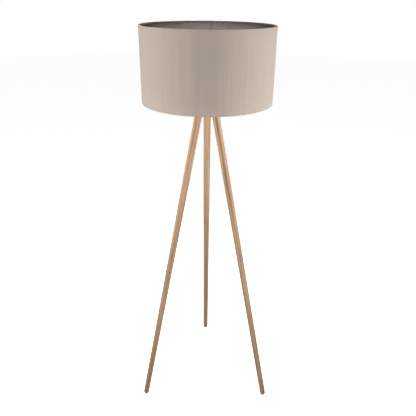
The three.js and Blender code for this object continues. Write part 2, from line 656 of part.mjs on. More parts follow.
// ---------------------------------------------------------------- shade
// Fabric skin: the outer wall, turned in over both rings, with a slit in the lower hem for each arm.
function fabricShape() {
  const top = SHADE_TOP_Z;
  const bottom = SHADE_BOTTOM_Z;
  const inner = HEM_R - FABRIC_T;
  const body = turned([
    at(inner, bottom + HEM_ROUND), at(inner + HEM_ROUND, bottom),
    at(SHADE_R - HEM_ROUND, bottom), at(SHADE_R, bottom + HEM_ROUND),
    at(SHADE_R, top - HEM_ROUND), at(SHADE_R - HEM_ROUND, top),
    at(inner + HEM_ROUND, top), at(inner, top - HEM_ROUND),
    at(inner, top - HEM_DEPTH), at(HEM_R, top - HEM_DEPTH), at(HEM_R, top - FABRIC_T),
    at(SHADE_R - FABRIC_T, top - FABRIC_T), at(SHADE_R - FABRIC_T, bottom + FABRIC_T),
    at(HEM_R, bottom + FABRIC_T), at(HEM_R, bottom + HEM_DEPTH), at(inner, bottom + HEM_DEPTH),
  ], SHADE_SIDES);
  const slitZ = BOTTOM_WIRE_Z - WIRE_D / 2 + HEM_DEPTH / 2;
  const slits = Object.values(LEG_AZIMUTHS).map((azimuth) =>
    boxShape([ARM_NOTCH, ARM_NOTCH, HEM_DEPTH], [HEM_R - FABRIC_T, 0, slitZ])
      .rotateZ(THREE.MathUtils.degToRad(azimuth)));
  return cut(body, ...slits);
}

// Stiff plastic sheet behind the fabric.
function linerShape() {
  const z = SHADE_BOTTOM_Z + FABRIC_T + GAP;
  const height = SHADE_HEIGHT - 2 * (FABRIC_T + GAP);
  return tubeShape(LINER_R, LINER_R - LINER_T, z, height, SHADE_SIDES);
}

// Spider arm: a wire from the centre plate, out level and then down to the bottom ring.
function armShape() {
  const start = PLATE_R + GAP;
  const end = RING_WIRE_R - WIRE_D / 2 - GAP;
  const z = PLATE_Z + PLATE_T / 2;
  const bend = ARM_LEVEL + ARM_BEND;
  const drop = ((z - BOTTOM_WIRE_Z) * ARM_BEND) / (end - start - 2 * bend);
  const path = new THREE.CatmullRomCurve3([
    new THREE.Vector3(start, 0, z),
    new THREE.Vector3(start + ARM_LEVEL, 0, z),
    new THREE.Vector3(start + bend, 0, z - drop),
    new THREE.Vector3(end - bend, 0, BOTTOM_WIRE_Z + drop),
    new THREE.Vector3(end - ARM_LEVEL, 0, BOTTOM_WIRE_Z),
    new THREE.Vector3(end, 0, BOTTOM_WIRE_Z),
  ]);
  const section = new THREE.Shape();
  section.absarc(0, 0, WIRE_D / 2, 0, 2 * Math.PI, false);
  return new THREE.ExtrudeGeometry(section, { steps: 14, curveSegments: 4, extrudePath: path });
}

function makeShade() {
  const group = new THREE.Group();
  const plate = tubeShape(PLATE_R, SLEEVE_HOLE_R, PLATE_Z, PLATE_T, SLEEVE_SIDES);
  group.add(
    piece('shade_fabric', fabricShape(), FABRIC),
    piece('shade_liner', linerShape(), LINER),
    piece('shade_top_ring', wireRing(RING_WIRE_R, TOP_WIRE_Z), WHITE_WIRE),
    piece('shade_bottom_ring', wireRing(RING_WIRE_R, BOTTOM_WIRE_Z), WHITE_WIRE),
    piece('spider_plate', plate, WHITE_WIRE),
  );
  for (const [side, azimuth] of Object.entries(LEG_AZIMUTHS)) {
    const arm = piece(`spider_arm_${side}`, armShape(), WHITE_WIRE);
    arm.rotation.z = THREE.MathUtils.degToRad(azimuth);
    group.add(arm);
  }
  return group;
}

// ---------------------------------------------------------------- the lamp
const lamp = new THREE.Group();
lamp.position.y = COLUMN_Y;
for (const [side, azimuth] of Object.entries(LEG_AZIMUTHS)) lamp.add(makeLeg(side, azimuth));
lamp.add(makeColumn(), makeLampholder(), makeShadeRing(), makeBulb(), makeShade());

const root = new THREE.Group();
root.add(lamp);
export default root;
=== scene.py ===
"""Tripod floor lamp: turned oak legs, a ribbed fabric drum shade and the fittings that hold them.

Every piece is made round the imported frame, in metres, and rides on one of its bodies.
"""
import math

import bmesh
import bpy
from bpy.props import FloatProperty, FloatVectorProperty, IntProperty, PointerProperty
from mathutils import Matrix, Vector


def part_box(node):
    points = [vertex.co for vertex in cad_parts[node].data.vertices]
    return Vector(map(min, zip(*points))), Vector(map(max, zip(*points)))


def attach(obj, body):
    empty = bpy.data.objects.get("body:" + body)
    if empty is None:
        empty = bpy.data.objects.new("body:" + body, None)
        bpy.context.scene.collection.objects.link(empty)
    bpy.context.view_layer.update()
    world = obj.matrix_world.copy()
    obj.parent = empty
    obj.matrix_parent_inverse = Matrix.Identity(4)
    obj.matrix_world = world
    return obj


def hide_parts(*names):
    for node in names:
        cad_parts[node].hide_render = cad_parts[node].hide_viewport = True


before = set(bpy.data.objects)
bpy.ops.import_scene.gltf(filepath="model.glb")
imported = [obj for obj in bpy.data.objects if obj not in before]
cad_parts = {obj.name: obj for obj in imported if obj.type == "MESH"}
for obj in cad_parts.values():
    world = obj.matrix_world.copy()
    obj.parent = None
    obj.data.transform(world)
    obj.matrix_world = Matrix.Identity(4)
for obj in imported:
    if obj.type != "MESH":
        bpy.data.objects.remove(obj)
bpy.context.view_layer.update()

bl_info = {
    "name": "Tripod Floor Lamp",
    "version": (1, 0, 0),
    "blender": (4, 5, 0),
    "location": "View3D > Sidebar > Lamp",
    "description": "Makes a tripod floor lamp with oak legs and a fabric drum shade",
    "category": "Add Mesh",
}

MM = 0.001
TURN = 2 * math.pi
EDGE_ROUND = 1.2 * MM  # rounding of the shade's rims
HEM_DEPTH = 5.5 * MM
WIRE = 1.6 * MM  # radius of the spider's wire
TUBE_HOLE = 5.3  # radius of the holes that the threaded tube passes, in millimetres
RING_WALL = 8.1  # from the clamp ring's rim to its bore, in millimetres
CAP_SEAT = 16.3  # radius at which the sleeve sits in the cap, in millimetres


# ---- places taken from the frame
BOXES = {name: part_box(name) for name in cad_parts}


def middle(node):
    low, high = BOXES[node]
    return (low + high) / 2


def reach(node):
    """Half of a node's width: the radius of a round one."""
    low, high = BOXES[node]
    return (high.x - low.x) / 2


def floor_of(node):
    return BOXES[node][0].z


def top_of(node):
    return BOXES[node][1].z


def extents(node):
    """A node's bottom, top and radius in millimetres."""
    return floor_of(node) / MM, top_of(node) / MM, reach(node) / MM


COLUMN = middle("lampholder_sleeve")
SIDES = {"rear": 90.0, "left": 210.0, "right": 330.0}  # degrees from the column to each leg


def outward(degrees):
    angle = math.radians(degrees)
    return Vector((math.cos(angle), math.sin(angle), 0))


# ---- node trees
def plug(tree, slot, value):
    """Puts a link or a plain value in a node's socket."""
    if isinstance(value, Level):
        value = value.socket
    if isinstance(value, bpy.types.NodeSocket):
        tree.links.new(value, slot)
    else:
        slot.default_value = value


class Level:
    """A number that changes over a surface, so that node maths reads as arithmetic."""

    def __init__(self, tree, socket):
        self.tree = tree
        self.socket = socket

    def maths(self, operation, *values):
        node = self.tree.nodes.new("ShaderNodeMath")
        node.operation = operation
        for slot, value in zip(node.inputs, values):
            plug(self.tree, slot, value)
        return Level(self.tree, node.outputs[0])

    def __add__(self, other):
        return self.maths("ADD", self, other)

    def __sub__(self, other):
        return self.maths("SUBTRACT", self, other)

    def __rsub__(self, other):
        return self.maths("SUBTRACT", other, self)

    def __mul__(self, other):
        return self.maths("MULTIPLY", self, other)

    def __truediv__(self, other):
        return self.maths("DIVIDE", self, other)

    def __pow__(self, other):
        return self.maths("POWER", self, other)

    __radd__ = __add__
    __rmul__ = __mul__

    def lower(self, other):
        return self.maths("MINIMUM", self, other)

    def higher(self, other):
        return self.maths("MAXIMUM", self, other)

    def sine(self):
        return self.maths("SINE", self)

    def cosine(self):
        return self.maths("COSINE", self)

    def step(self, low, high):
        """0 at low and 1 at high, with a soft change between them."""
        node = self.tree.nodes.new("ShaderNodeMapRange")
        node.interpolation_type = "SMOOTHSTEP"
        for name, value in (("Value", self), ("From Min", low), ("From Max", high)):
            plug(self.tree, node.inputs[name], value)
        return Level(self.tree, node.outputs["Result"])


class Bench:
    """A node tree that grows by one method."""

    def __init__(self, tree):
        self.tree = tree

    def add(self, kind, settings=None, inputs=None):
        node = self.tree.nodes.new(kind)
        for key, value in (settings or {}).items():
            if key == "ramp":
                stops = node.color_ramp.elements
                stops[0].position, stops[1].position = value[0][0], value[-1][0]
                made = [stops[0], *[stops.new(at) for at, _ in value[1:-1]]]
                for stop, (_, colour) in zip([*made, stops[len(stops) - 1]], value):
                    stop.color = (*colour, 1)
            else:
                setattr(node, key, value)
        for key, value in (inputs or {}).items():
            plug(self.tree, node.inputs[key], value)
        return node

    def level(self, node, output=0):
        return Level(self.tree, node.outputs[output])

    def vectors(self, operation, first, second):
        node = self.add("ShaderNodeVectorMath", {"operation": operation}, {0: first, 1: second})
        return node.outputs[0]

    def parts(self, vector):
        node = self.add("ShaderNodeSeparateXYZ", inputs={0: vector})
        return [self.level(node, axis) for axis in range(3)]

    def joined(self, x, y, z):
        return self.add("ShaderNodeCombineXYZ", inputs={0: x, 1: y, 2: z}).outputs[0]

    def noise(self, vector, scale, detail=2.0, distortion=0.0):
        node = self.add(
            "ShaderNodeTexNoise",
            inputs={"Vector": vector, "Scale": scale, "Detail": detail, "Distortion": distortion},
        )
        return self.level(node)


class Finish(Bench):
    """A procedural material with one main shader."""

    def __init__(self, name, **constants):
        self.material = bpy.data.materials.new(name)
        self.material.use_nodes = True
        super().__init__(self.material.node_tree)
        self.tree.nodes.clear()
        values = {key.replace("_", " "): value for key, value in constants.items()}
        self.shader = self.add("ShaderNodeBsdfPrincipled", inputs=values)
        self.add("ShaderNodeOutputMaterial", inputs={"Surface": self.shader.outputs[0]})

    def place(self, stretch=(1, 1, 1)):
        """Object coordinates, measured from the column and stretched."""
        coordinates = self.add("ShaderNodeTexCoord").outputs["Object"]
        centred = self.vectors("SUBTRACT", coordinates, (COLUMN.x, COLUMN.y, 0))
        return self.vectors("MULTIPLY", centred, stretch)

    def speckle(self, stretch, detail, distortion=0.0):
        """Noise with so many cells to a metre along each axis."""
        return self.noise(self.place(stretch), 1.0, detail, distortion)

    def mixed(self, amount, first, second):
        """From the first colour to the second as amount goes from 0 to 1."""
        node = self.add(
            "ShaderNodeMix", {"data_type": "RGBA"}, {0: amount, 6: first, 7: second}
        )
        return node.outputs[2]

    def ramp(self, amount, stops):
        return self.add("ShaderNodeValToRGB", {"ramp": stops}, {0: amount}).outputs[0]

    def shade(self, colour, amount):
        """A colour made lighter or darker by a level."""
        grey = self.add("ShaderNodeCombineColor", inputs={0: amount, 1: amount, 2: amount})
        node = self.add(
            "ShaderNodeMix",
            {"data_type": "RGBA", "blend_type": "MULTIPLY"},
            {0: 1.0, 6: colour, 7: grey.outputs[0]},
        )
        return node.outputs[2]

    def bump(self, height, distance):
        node = self.add("ShaderNodeBump", inputs={"Height": height, "Distance": distance})
        plug(self.tree, self.shader.inputs["Normal"], node.outputs[0])

    def wear(self, colour, roughness):
        plug(self.tree, self.shader.inputs["Base Color"], colour)
        plug(self.tree, self.shader.inputs["Roughness"], roughness)
        return self.material


class Recipe(Bench):
    """A geometry tree with named inputs that makes plain pieces."""

    def __init__(self, name, inputs):
        super().__init__(bpy.data.node_groups.new(name, "GeometryNodeTree"))
        face = self.tree.interface
        face.new_socket("Geometry", in_out="INPUT", socket_type="NodeSocketGeometry")
        face.new_socket("Geometry", in_out="OUTPUT", socket_type="NodeSocketGeometry")
        self.sockets = {}
        for label, kind in {**inputs, "Material": "Material"}.items():
            made = face.new_socket(label, in_out="INPUT", socket_type="NodeSocket" + kind)
            self.sockets[label] = made.identifier
        self.start = self.add("NodeGroupInput")

    def given(self, label):
        return Level(self.tree, self.start.outputs[label])

    def end(self, geometry):
        real = self.add("GeometryNodeRealizeInstances", inputs={0: geometry})
        coated = self.add(
            "GeometryNodeSetMaterial",
            inputs={"Geometry": real.outputs[0], "Material": self.start.outputs["Material"]},
        )
        self.add("NodeGroupOutput", inputs={0: coated.outputs[0]})

    def end_with(self, added):
        """Ends with the mesh given and a shape added at the base point."""
        moved = self.add(
            "GeometryNodeTransform", inputs={"Geometry": added, "Translation": self.given("Base")}
        )
        both = self.add("GeometryNodeJoinGeometry")
        for geometry in (self.start.outputs[0], moved.outputs[0]):
            self.tree.links.new(geometry, both.inputs[0])
        self.end(both.outputs[0])

    def scaled(self, direction, amount):
        node = self.add(
            "ShaderNodeVectorMath", {"operation": "SCALE"}, {0: direction, "Scale": amount}
        )
        return node.outputs[0]

    def make(self, name, values, blank=None):
        base = bpy.data.objects.new(name, blank or bpy.data.meshes.new(name))
        bpy.context.scene.collection.objects.link(base)
        modifier = base.modifiers.new("recipe", "NODES")
        modifier.node_group = self.tree
        for label, value in values.items():
            modifier[self.sockets[label]] = value
        graph = bpy.context.evaluated_depsgraph_get()
        mesh = bpy.data.meshes.new_from_object(base.evaluated_get(graph))
        bpy.data.objects.remove(base)
        return stand(name, mesh)


# ---- pieces
def stand(name, mesh, material=None, crease=35.0):
    """Puts a finished mesh in the scene, smooth but for its creases, with its faces outwards."""
    copy = bmesh.new()
    copy.from_mesh(mesh)
    if copy.calc_volume(signed=True) < 0:
        bmesh.ops.reverse_faces(copy, faces=copy.faces)
        copy.to_mesh(mesh)
    copy.free()
    mesh.name = name
    piece = bpy.data.objects.new(name, mesh)
    bpy.context.scene.collection.objects.link(piece)
    mesh.shade_smooth()
    mesh.set_sharp_from_angle(angle=math.radians(crease))
    if material:
        mesh.materials.clear()
        mesh.materials.append(material)
    return piece


def settle(piece, body, slot, *nodes):
    """The piece rides on a body and stands for its frame nodes, which it hides. The slot is not
    used.
    """
    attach(piece, body)
    if nodes:
        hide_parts(*nodes)
    return piece


def dress(material, *nodes):
    """Gives frame nodes, whose own shape is right, a finished material."""
    for node in nodes:
        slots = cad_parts[node].data.materials
        slots.clear()
        slots.append(material)


def eased(*corners, steps=4):
    """A profile of (radius, height, rounding) corners in millimetres, each rounded off."""
    path = []
    for index, (r, z, ease) in enumerate(corners):
        here = Vector((r, z))
        if ease <= 0:
            path.append(here)
            continue
        before = Vector(corners[index - 1][:2])
        after = Vector(corners[(index + 1) % len(corners)][:2])
        start = here + (before - here).normalized() * ease
        finish = here + (after - here).normalized() * ease
        for step in range(steps + 1):
            t = step / steps
            path.append(start * (1 - t) ** 2 + here * 2 * t * (1 - t) + finish * t * t)
    return path


def turned(name, path, material, centre=COLUMN, sides=96, crease=35.0):
    """Turns a profile in millimetres round an upright axis, as a closed piece."""
    bm = bmesh.new()
    rings = []
    for r, z in path:
        if r < 1e-6:
            rings.append([bm.verts.new((centre.x, centre.y, z * MM))])
            continue
        ring = []
        for step in range(sides):
            angle = TURN * step / sides
            x = centre.x + r * MM * math.cos(angle)
            y = centre.y + r * MM * math.sin(angle)
            ring.append(bm.verts.new((x, y, z * MM)))
        rings.append(ring)
    closed = len(rings[0]) > 1 or len(rings[-1]) > 1
    pairs = list(zip(rings, rings[1:])) + ([(rings[-1], rings[0])] if closed else [])
    for one, two in pairs:
        for step in range(sides):
            after = (step + 1) % sides
            corners = [one[step % len(one)], one[after % len(one)]]
            corners += [two[after % len(two)], two[step % len(two)]]
            bm.faces.new(dict.fromkeys(corners))
    mesh = bpy.data.meshes.new(name)
    bm.to_mesh(mesh)
    bm.free()
    return stand(name, mesh, material, crease)


def swept(name, points, radius, material, sides=16):
    """A round wire along points, with rounded ends."""
    bm = bmesh.new()
    rings = []
    last = len(points) - 1
    for index, point in enumerate(points):
        ahead = (points[min(index + 1, last)] - points[max(index - 1, 0)]).normalized()
        across = ahead.cross(Vector((0, 0, 1))).normalized()
        up = across.cross(ahead)
        ring = []
        for step in range(sides):
            angle = TURN * step / sides
            spoke = across * math.cos(angle) + up * math.sin(angle)
            ring.append(bm.verts.new(point + spoke * radius))
        rings.append(ring)
    for one, two in zip(rings, rings[1:]):
        for step in range(sides):
            after = (step + 1) % sides
            bm.faces.new((one[step], one[after], two[after], two[step]))
    for ring, neighbour in ((rings[0], rings[1]), (rings[-1], rings[-2])):
        hub = sum((v.co for v in ring), Vector()) / sides
        inner = sum((v.co for v in neighbour), Vector()) / sides
        tip = bm.verts.new(hub + (hub - inner).normalized() * radius * 0.5)
        for step in range(sides):
            bm.faces.new((ring[step], ring[(step + 1) % sides], tip))
    bmesh.ops.recalc_face_normals(bm, faces=bm.faces)
    mesh = bpy.data.meshes.new(name)
    bm.to_mesh(mesh)
    bm.free()
    return stand(name, mesh, material, 60.0)


def turned_blank(name, path, material):
    """The mesh of a turned piece, for a recipe to add to."""
    piece = turned(name, path, material)
    mesh = piece.data
    bpy.data.objects.remove(piece)
    return mesh


def ring_mesh(name, turns, sections):
    """A closed ring round the column, from a section of (radius, height, ...) rows at each turn."""
    points, faces = [], []
    for angle, section in zip(turns, sections):
        for r, z, *_ in section:
            points.append((COLUMN.x + r * math.cos(angle), COLUMN.y + r * math.sin(angle), z))
    rows = len(sections[0])
    for step in range(len(turns)):
        here, after = step * rows, (step + 1) % len(turns) * rows
        for row in range(rows):
            up = (row + 1) % rows
            faces.append((here + row, after + row, after + up, here + up))
    mesh = bpy.data.meshes.new(name)
    mesh.from_pydata(points, [], faces)
    return mesh


# ---- finishes
FINISHES = {}


def finish(maker):
    """Makes a finish once, and hands it out again by its maker's name."""

    def get(*args):
        key = (maker.__name__, *args)
        if key not in FINISHES:
            FINISHES[key] = maker(*args)
        return FINISHES[key]

    return get


@finish
def oak(cut):
    """Oiled oak. The legs carry their own grain coordinates, and the hub's grain runs level."""
    lamp = bpy.context.scene.lamp_legs
    wood = Finish("oak_" + cut, Specular_IOR_Level=0.35)
    if cut == "lengthways":
        place = wood.add("ShaderNodeAttribute", {"attribute_name": "grain"}).outputs["Vector"]
    else:
        x, y, z = wood.parts(wood.place())
        place = wood.joined(y + 0.31, z - 1.2, x + 0.7)
    x, y, z = wood.parts(place)
    drift = wood.noise(wood.vectors("MULTIPLY", place, (1, 1, 0.06)), 40.0, 3.0)
    far = ((x + 0.034) ** 2.0 + (y + 0.02) ** 2.0) ** 0.5 + drift * 0.008
    bands = (far * (TURN / lamp.ring_spacing)).sine() * 0.5 + 0.5
    fibres = wood.noise(wood.vectors("MULTIPLY", place, (1, 1, 0.012)), 700.0, 3.0)
    streaks = wood.noise(wood.vectors("MULTIPLY", place, (1, 1, 0.02)), 190.0, 2.0)
    pores = wood.noise(wood.vectors("MULTIPLY", place, (1, 1, 0.035)), 1500.0, 1.0).step(0.6, 0.72)
    grain = bands ** 1.6 * 0.36 + streaks.step(0.3, 0.72) * 0.52 + fibres * 0.3
    colour = wood.mixed(grain, (*lamp.light_grain, 1), (*lamp.dark_grain, 1))
    tone = 1.0 - pores * 0.16 - (z - 0.004).step(0.014, 0.0) * 0.22
    colour = wood.shade(colour, tone)
    wood.bump(fibres * 0.6 - pores * 0.5 + bands * 0.15, 0.00012)
    return wood.wear(colour, 0.46 + fibres * 0.16 + pores * 0.1)


@finish
def shade_cloth():
    """Ribbed taupe cloth, its turned-in hem coloured darker as painted shade. Its threads follow
    the cloth's own coordinates.
    """
    lamp = bpy.context.scene.lamp_shade
    cloth = Finish(
        "shade_cloth", Specular_IOR_Level=0.2, Sheen_Weight=0.22, Sheen_Roughness=0.45
    )
    place = cloth.add("ShaderNodeAttribute", {"attribute_name": "cloth"}).outputs["Vector"]
    along, height, side = cloth.parts(place)
    threads = cloth.noise(cloth.joined(along * 900.0, height * 14.0, 0.0), 1.0, 2.0)
    slubs = cloth.noise(cloth.joined(along * 330.0, height * 2.6, 4.0), 1.0, 1.0)
    broad = cloth.noise(cloth.joined(along * 6.0, height * 6.0, 9.0), 1.0, 2.0)
    weft = (height * (TURN / 0.0011) + threads * 5.0).sine() * 0.5 + 0.5
    tone = 0.92 + threads * 0.05 + slubs.step(0.3, 0.7) * 0.035 + broad * 0.02 + weft * 0.02
    # Painted shade: the turned-in hem takes a darker colour than the cloth.
    hem_shade_mask = side.step(0.2, 0.8)
    colour = cloth.mixed(slubs, (*lamp.cloth, 1), (*lamp.cloth_slub, 1))
    colour = cloth.mixed(hem_shade_mask, colour, (*lamp.hem_painted_shade, 1))
    colour = cloth.shade(colour, tone)
    cloth.bump(weft * 0.4 + threads * 0.5 + slubs * 0.5, 0.00022)
    return cloth.wear(colour, 0.82 + threads * 0.12)


@finish
def shade_lining():
    """Smooth grey-brown sheet, with the cloth's threads faintly showing and a lap seam darkened as
    painted shade.
    """
    lamp = bpy.context.scene.lamp_shade
    sheet = Finish("shade_lining", Specular_IOR_Level=0.4)
    place = sheet.add("ShaderNodeAttribute", {"attribute_name": "cloth"}).outputs["Vector"]
    along, height, seam = sheet.parts(place)
    ghost = sheet.noise(sheet.joined(along * 210.0, height * 3.2, 4.0), 1.0, 2.0)
    cloud = sheet.noise(sheet.joined(along * 9.0, height * 9.0, 2.0), 1.0, 3.0)
    # Painted shade: the lap seam is darkened where the doubled sheet lets less light through.
    lap = seam.step(0.2, 0.8)
    colour = sheet.mixed(cloud, (*lamp.lining, 1), (*lamp.lining_cloud, 1))
    colour = sheet.shade(colour, 0.97 + ghost * 0.06 - lap * 0.16)
    sheet.bump(ghost + cloud * 0.4, 0.00015)
    return sheet.wear(colour, 0.5 + cloud * 0.14)


@finish
def metal(name, colour, low, high):
    """Bright metal with fine drawn lines, faint staining and small pits."""
    sheet = Finish(name, Metallic=1.0)
    lines = sheet.speckle((60.0, 60.0, 900.0), 2.0)
    stain = sheet.speckle((120.0, 120.0, 120.0), 3.0)
    pits = sheet.speckle((1500.0, 1500.0, 1500.0), 1.0).step(0.62, 0.75)
    tint = sheet.mixed(stain, (*colour, 1), (*[c * 0.82 for c in colour], 1))
    sheet.bump(lines * 0.5 - pits, 0.00004)
    roughness = low + lines * (high - low) + stain * 0.08
    return sheet.wear(sheet.shade(tint, 1.0 - pits * 0.25), roughness)


@finish
def moulded(name, colour, roughness, specular):
    """Moulded plastic or glazed ceramic: an even colour with faint flow marks and a fine skin."""
    part = Finish(name, Specular_IOR_Level=specular)
    flow = part.speckle((70.0, 70.0, 40.0), 3.0)
    skin = part.speckle((2200.0, 2200.0, 2200.0), 1.0)
    dust = part.speckle((500.0, 500.0, 500.0), 2.0).step(0.66, 0.8)
    tint = part.mixed(flow, (*colour, 1), (*[c * 0.93 for c in colour], 1))
    part.bump(skin, 0.00003)
    return part.wear(part.shade(tint, 1.0 - dust * 0.08), roughness + flow * 0.1 + dust * 0.1)


@finish
def powder_coat():
    """White powder coat with its orange-peel skin and a few rubbed spots."""
    coat = Finish("powder_coat", Specular_IOR_Level=0.5)
    peel = coat.speckle((900.0, 900.0, 900.0), 1.0)
    rubbed = coat.speckle((90.0, 90.0, 90.0), 3.0).step(0.6, 0.7)
    colour = coat.mixed(rubbed, (0.79, 0.77, 0.73, 1), (0.68, 0.66, 0.62, 1))
    coat.bump(peel, 0.0001)
    return coat.wear(colour, 0.38 + peel * 0.12 - rubbed * 0.08)


@finish
def felt():
    """Pressed brown felt."""
    pad = Finish("felt", Specular_IOR_Level=0.1, Sheen_Weight=0.3)
    hairs = pad.speckle((1400.0, 1400.0, 700.0), 4.0, 1.5)
    clumps = pad.speckle((260.0, 260.0, 260.0), 3.0)
    colour = pad.ramp(
        hairs * 0.6 + clumps * 0.4,
        [(0.3, (0.05, 0.034, 0.022)), (0.55, (0.12, 0.085, 0.056)), (0.75, (0.2, 0.15, 0.105))],
    )
    pad.bump(hairs + clumps * 0.5, 0.0004)
    return pad.wear(colour, 0.9 + clumps * 0.08)


def zinc():
    return metal("zinc_plate", (0.62, 0.63, 0.64), 0.26, 0.42)


def brass():
    return metal("brass", (0.72, 0.52, 0.2), 0.24, 0.38)


def nickel():
    return metal("nickel_plate", (0.68, 0.67, 0.64), 0.16, 0.3)


def white_plastic():
    return moulded("white_plastic", (0.82, 0.81, 0.78), 0.32, 0.5)


# ---- what a user can change
def colour(name, description, default):
    return FloatVectorProperty(
        name=name, description=description, default=default, subtype="COLOR"
    )


def amount(name, description, default, unit):
    return FloatProperty(name=name, description=description, default=default, unit=unit)


class LampShadeSizes(bpy.types.PropertyGroup):
    """Sizes and colours of the shade."""

    rib_count: IntProperty(
        name="Ribs", description="Ribs of the cloth round the shade", default=640, min=60
    )
    rib_depth: amount("Rib Depth", "How far a rib stands out", 0.00022, "LENGTH")
    seam_turn: FloatProperty(
        name="Seam Place",
        description="Direction of the back seam round the column",
        default=math.radians(86.9),
        subtype="ANGLE",
    )
    seam_width: amount("Seam Width", "Overlap of the sheet at its seam", 0.011, "LENGTH")
    cloth: colour("Cloth", "Colour of the cloth", (0.375, 0.308, 0.262))
    cloth_slub: colour("Slubs", "Colour of its thicker threads", (0.41, 0.342, 0.294))
    # Painted shade: the hem colour is darker than the cloth, standing for shade on the turned-in
    # hem.
    hem_painted_shade: colour("Hem", "Colour of the turned-in hem", (0.2, 0.155, 0.12))
    lining: colour("Lining", "Colour of the lining", (0.285, 0.24, 0.228))
    lining_cloud: colour("Lining Clouds", "Its lighter clouds", (0.325, 0.278, 0.264))


class LampLegSizes(bpy.types.PropertyGroup):
    """Sizes and colours of the oak."""

    top_radius: amount("Top Radius", "Radius of a leg at the hub", 0.01325, "LENGTH")
    foot_radius: amount("Foot Radius", "Radius of a leg at its foot", 0.01075, "LENGTH")
    ring_spacing: amount("Growth Rings", "Spacing of the growth rings", 0.0042, "LENGTH")
    light_grain: colour("Light Grain", "Colour of the pale wood", (0.575, 0.39, 0.24))
    dark_grain: colour("Dark Grain", "Colour of the darker wood", (0.235, 0.12, 0.05))


class LampStudioSizes(bpy.types.PropertyGroup):
    """The studio's light."""

    side_power: amount("Side Lights", "Power of each side softbox", 10.7, "POWER")
    front_power: amount("Front Light", "Power of the front softbox", 18.2, "POWER")
    back_power: amount("Back Light", "Power of the softbox behind the lamp", 13.0, "POWER")
    crown_power: amount("Crown Light", "Power of the light over the open shade", 5.0, "POWER")
    top_power: amount("Top Light", "Power of the beam over the front rim", 0.32, "POWER")
    air: FloatProperty(
        name="Room Light", description="Strength of the even light from all round", default=0.06
    )


# ---- shade
def rounded(wall, inward, level, upward, side, *degrees):
    """Rows of a rounded rim, from a wall and a level that it touches."""
    turns = [math.radians(angle) for angle in degrees]
    return [
        (wall + inward * (1 - math.cos(a)), level + upward * (1 - math.sin(a)), side) for a in turns
    ]


def cloth_section(low, high, notch):
    """The cloth's closed section: (radius, height, side) rows.

    The side is 0 on the outer wall, 1 on the turned-in hem and 0.5 where it can't be seen.
    """
    sheet, depth, rise = 0.7 * MM, 6.2 * MM, 5
    outer = reach("shade_fabric")
    inner = outer - depth
    edge = EDGE_ROUND
    rows = [(outer, low + edge + (high - low - 2 * edge) * k / rise, 0.0) for k in range(rise + 1)]
    rows += rounded(outer, -edge, high, -edge, 0.0, 30.0, 60.0, 90.0)
    rows += rounded(inner, edge, high, -edge, 1.0, 90.0, 60.0, 30.0, 0.0)
    rows += [(inner, high - HEM_DEPTH * 0.6, 1.0), (inner, high - HEM_DEPTH, 1.0)]
    rows += [(inner + sheet, high - HEM_DEPTH, 0.5), (inner + sheet, high - sheet, 0.5)]
    rows += [(outer - sheet, high - sheet, 0.5), (outer - sheet, low + sheet, 0.5)]
    rows += [(inner + sheet, low + sheet, 0.5), (inner + sheet, low + notch, 0.5)]
    rows += [(inner, low + notch, 1.0), (inner, low + (edge + notch) / 2, 1.0)]
    rows += rounded(inner, edge, low, edge, 1.0, 0.0, 30.0, 60.0, 90.0)
    rows += rounded(outer, -edge, low, edge, 0.0, 90.0, 60.0, 30.0)
    return rows


def wrapped(name, turns, sections):
    """A ring of cloth or sheet, with each point's place on it: along it, up it, and its side."""
    mesh = ring_mesh(name, turns, sections)
    round_trip = reach("shade_fabric") * TURN
    places = []
    for step, section in enumerate(sections):
        for _, z, side in section:
            places += (round_trip * step / len(turns), z, side)
    cloth = mesh.attributes.new("cloth", "FLOAT_VECTOR", "POINT")
    cloth.data.foreach_set("vector", places)
    return mesh


def rib_recipe():
    """Raises the cloth's outer side in upright ribs of uneven height."""
    ribs = Recipe(
        "cloth ribs",
        {"Rib Count": "Int", "Rib Depth": "Float", "Unevenness": "Float", "Column": "Vector"},
    )
    position = ribs.add("GeometryNodeInputPosition").outputs[0]
    level = ribs.vectors("SUBTRACT", position, ribs.given("Column").socket)
    x, y, z = ribs.parts(level)
    place = ribs.add(
        "GeometryNodeInputNamedAttribute", {"data_type": "FLOAT_VECTOR"}, {"Name": "cloth"}
    )
    side = ribs.parts(place.outputs["Attribute"])[2]
    angle = y.maths("ARCTAN2", y, x)
    wave = (angle * ribs.given("Rib Count")).cosine() * 0.5 + 0.5
    uneven = ribs.noise(ribs.joined(x * 240.0, y * 240.0, z * 5.0), 1.0, 2.0) - 0.5
    height = wave * (uneven * ribs.given("Unevenness") + 1.0) * ribs.given("Rib Depth")
    height = height * side.step(0.4, 0.1)
    away = ribs.vectors("NORMALIZE", ribs.joined(x, y, 0.0), (0, 0, 0))
    moved = ribs.add(
        "GeometryNodeSetPosition",
        inputs={"Geometry": ribs.start.outputs[0], "Offset": ribs.scaled(away, height)},
    )
    ribs.end(moved.outputs[0])
    return ribs


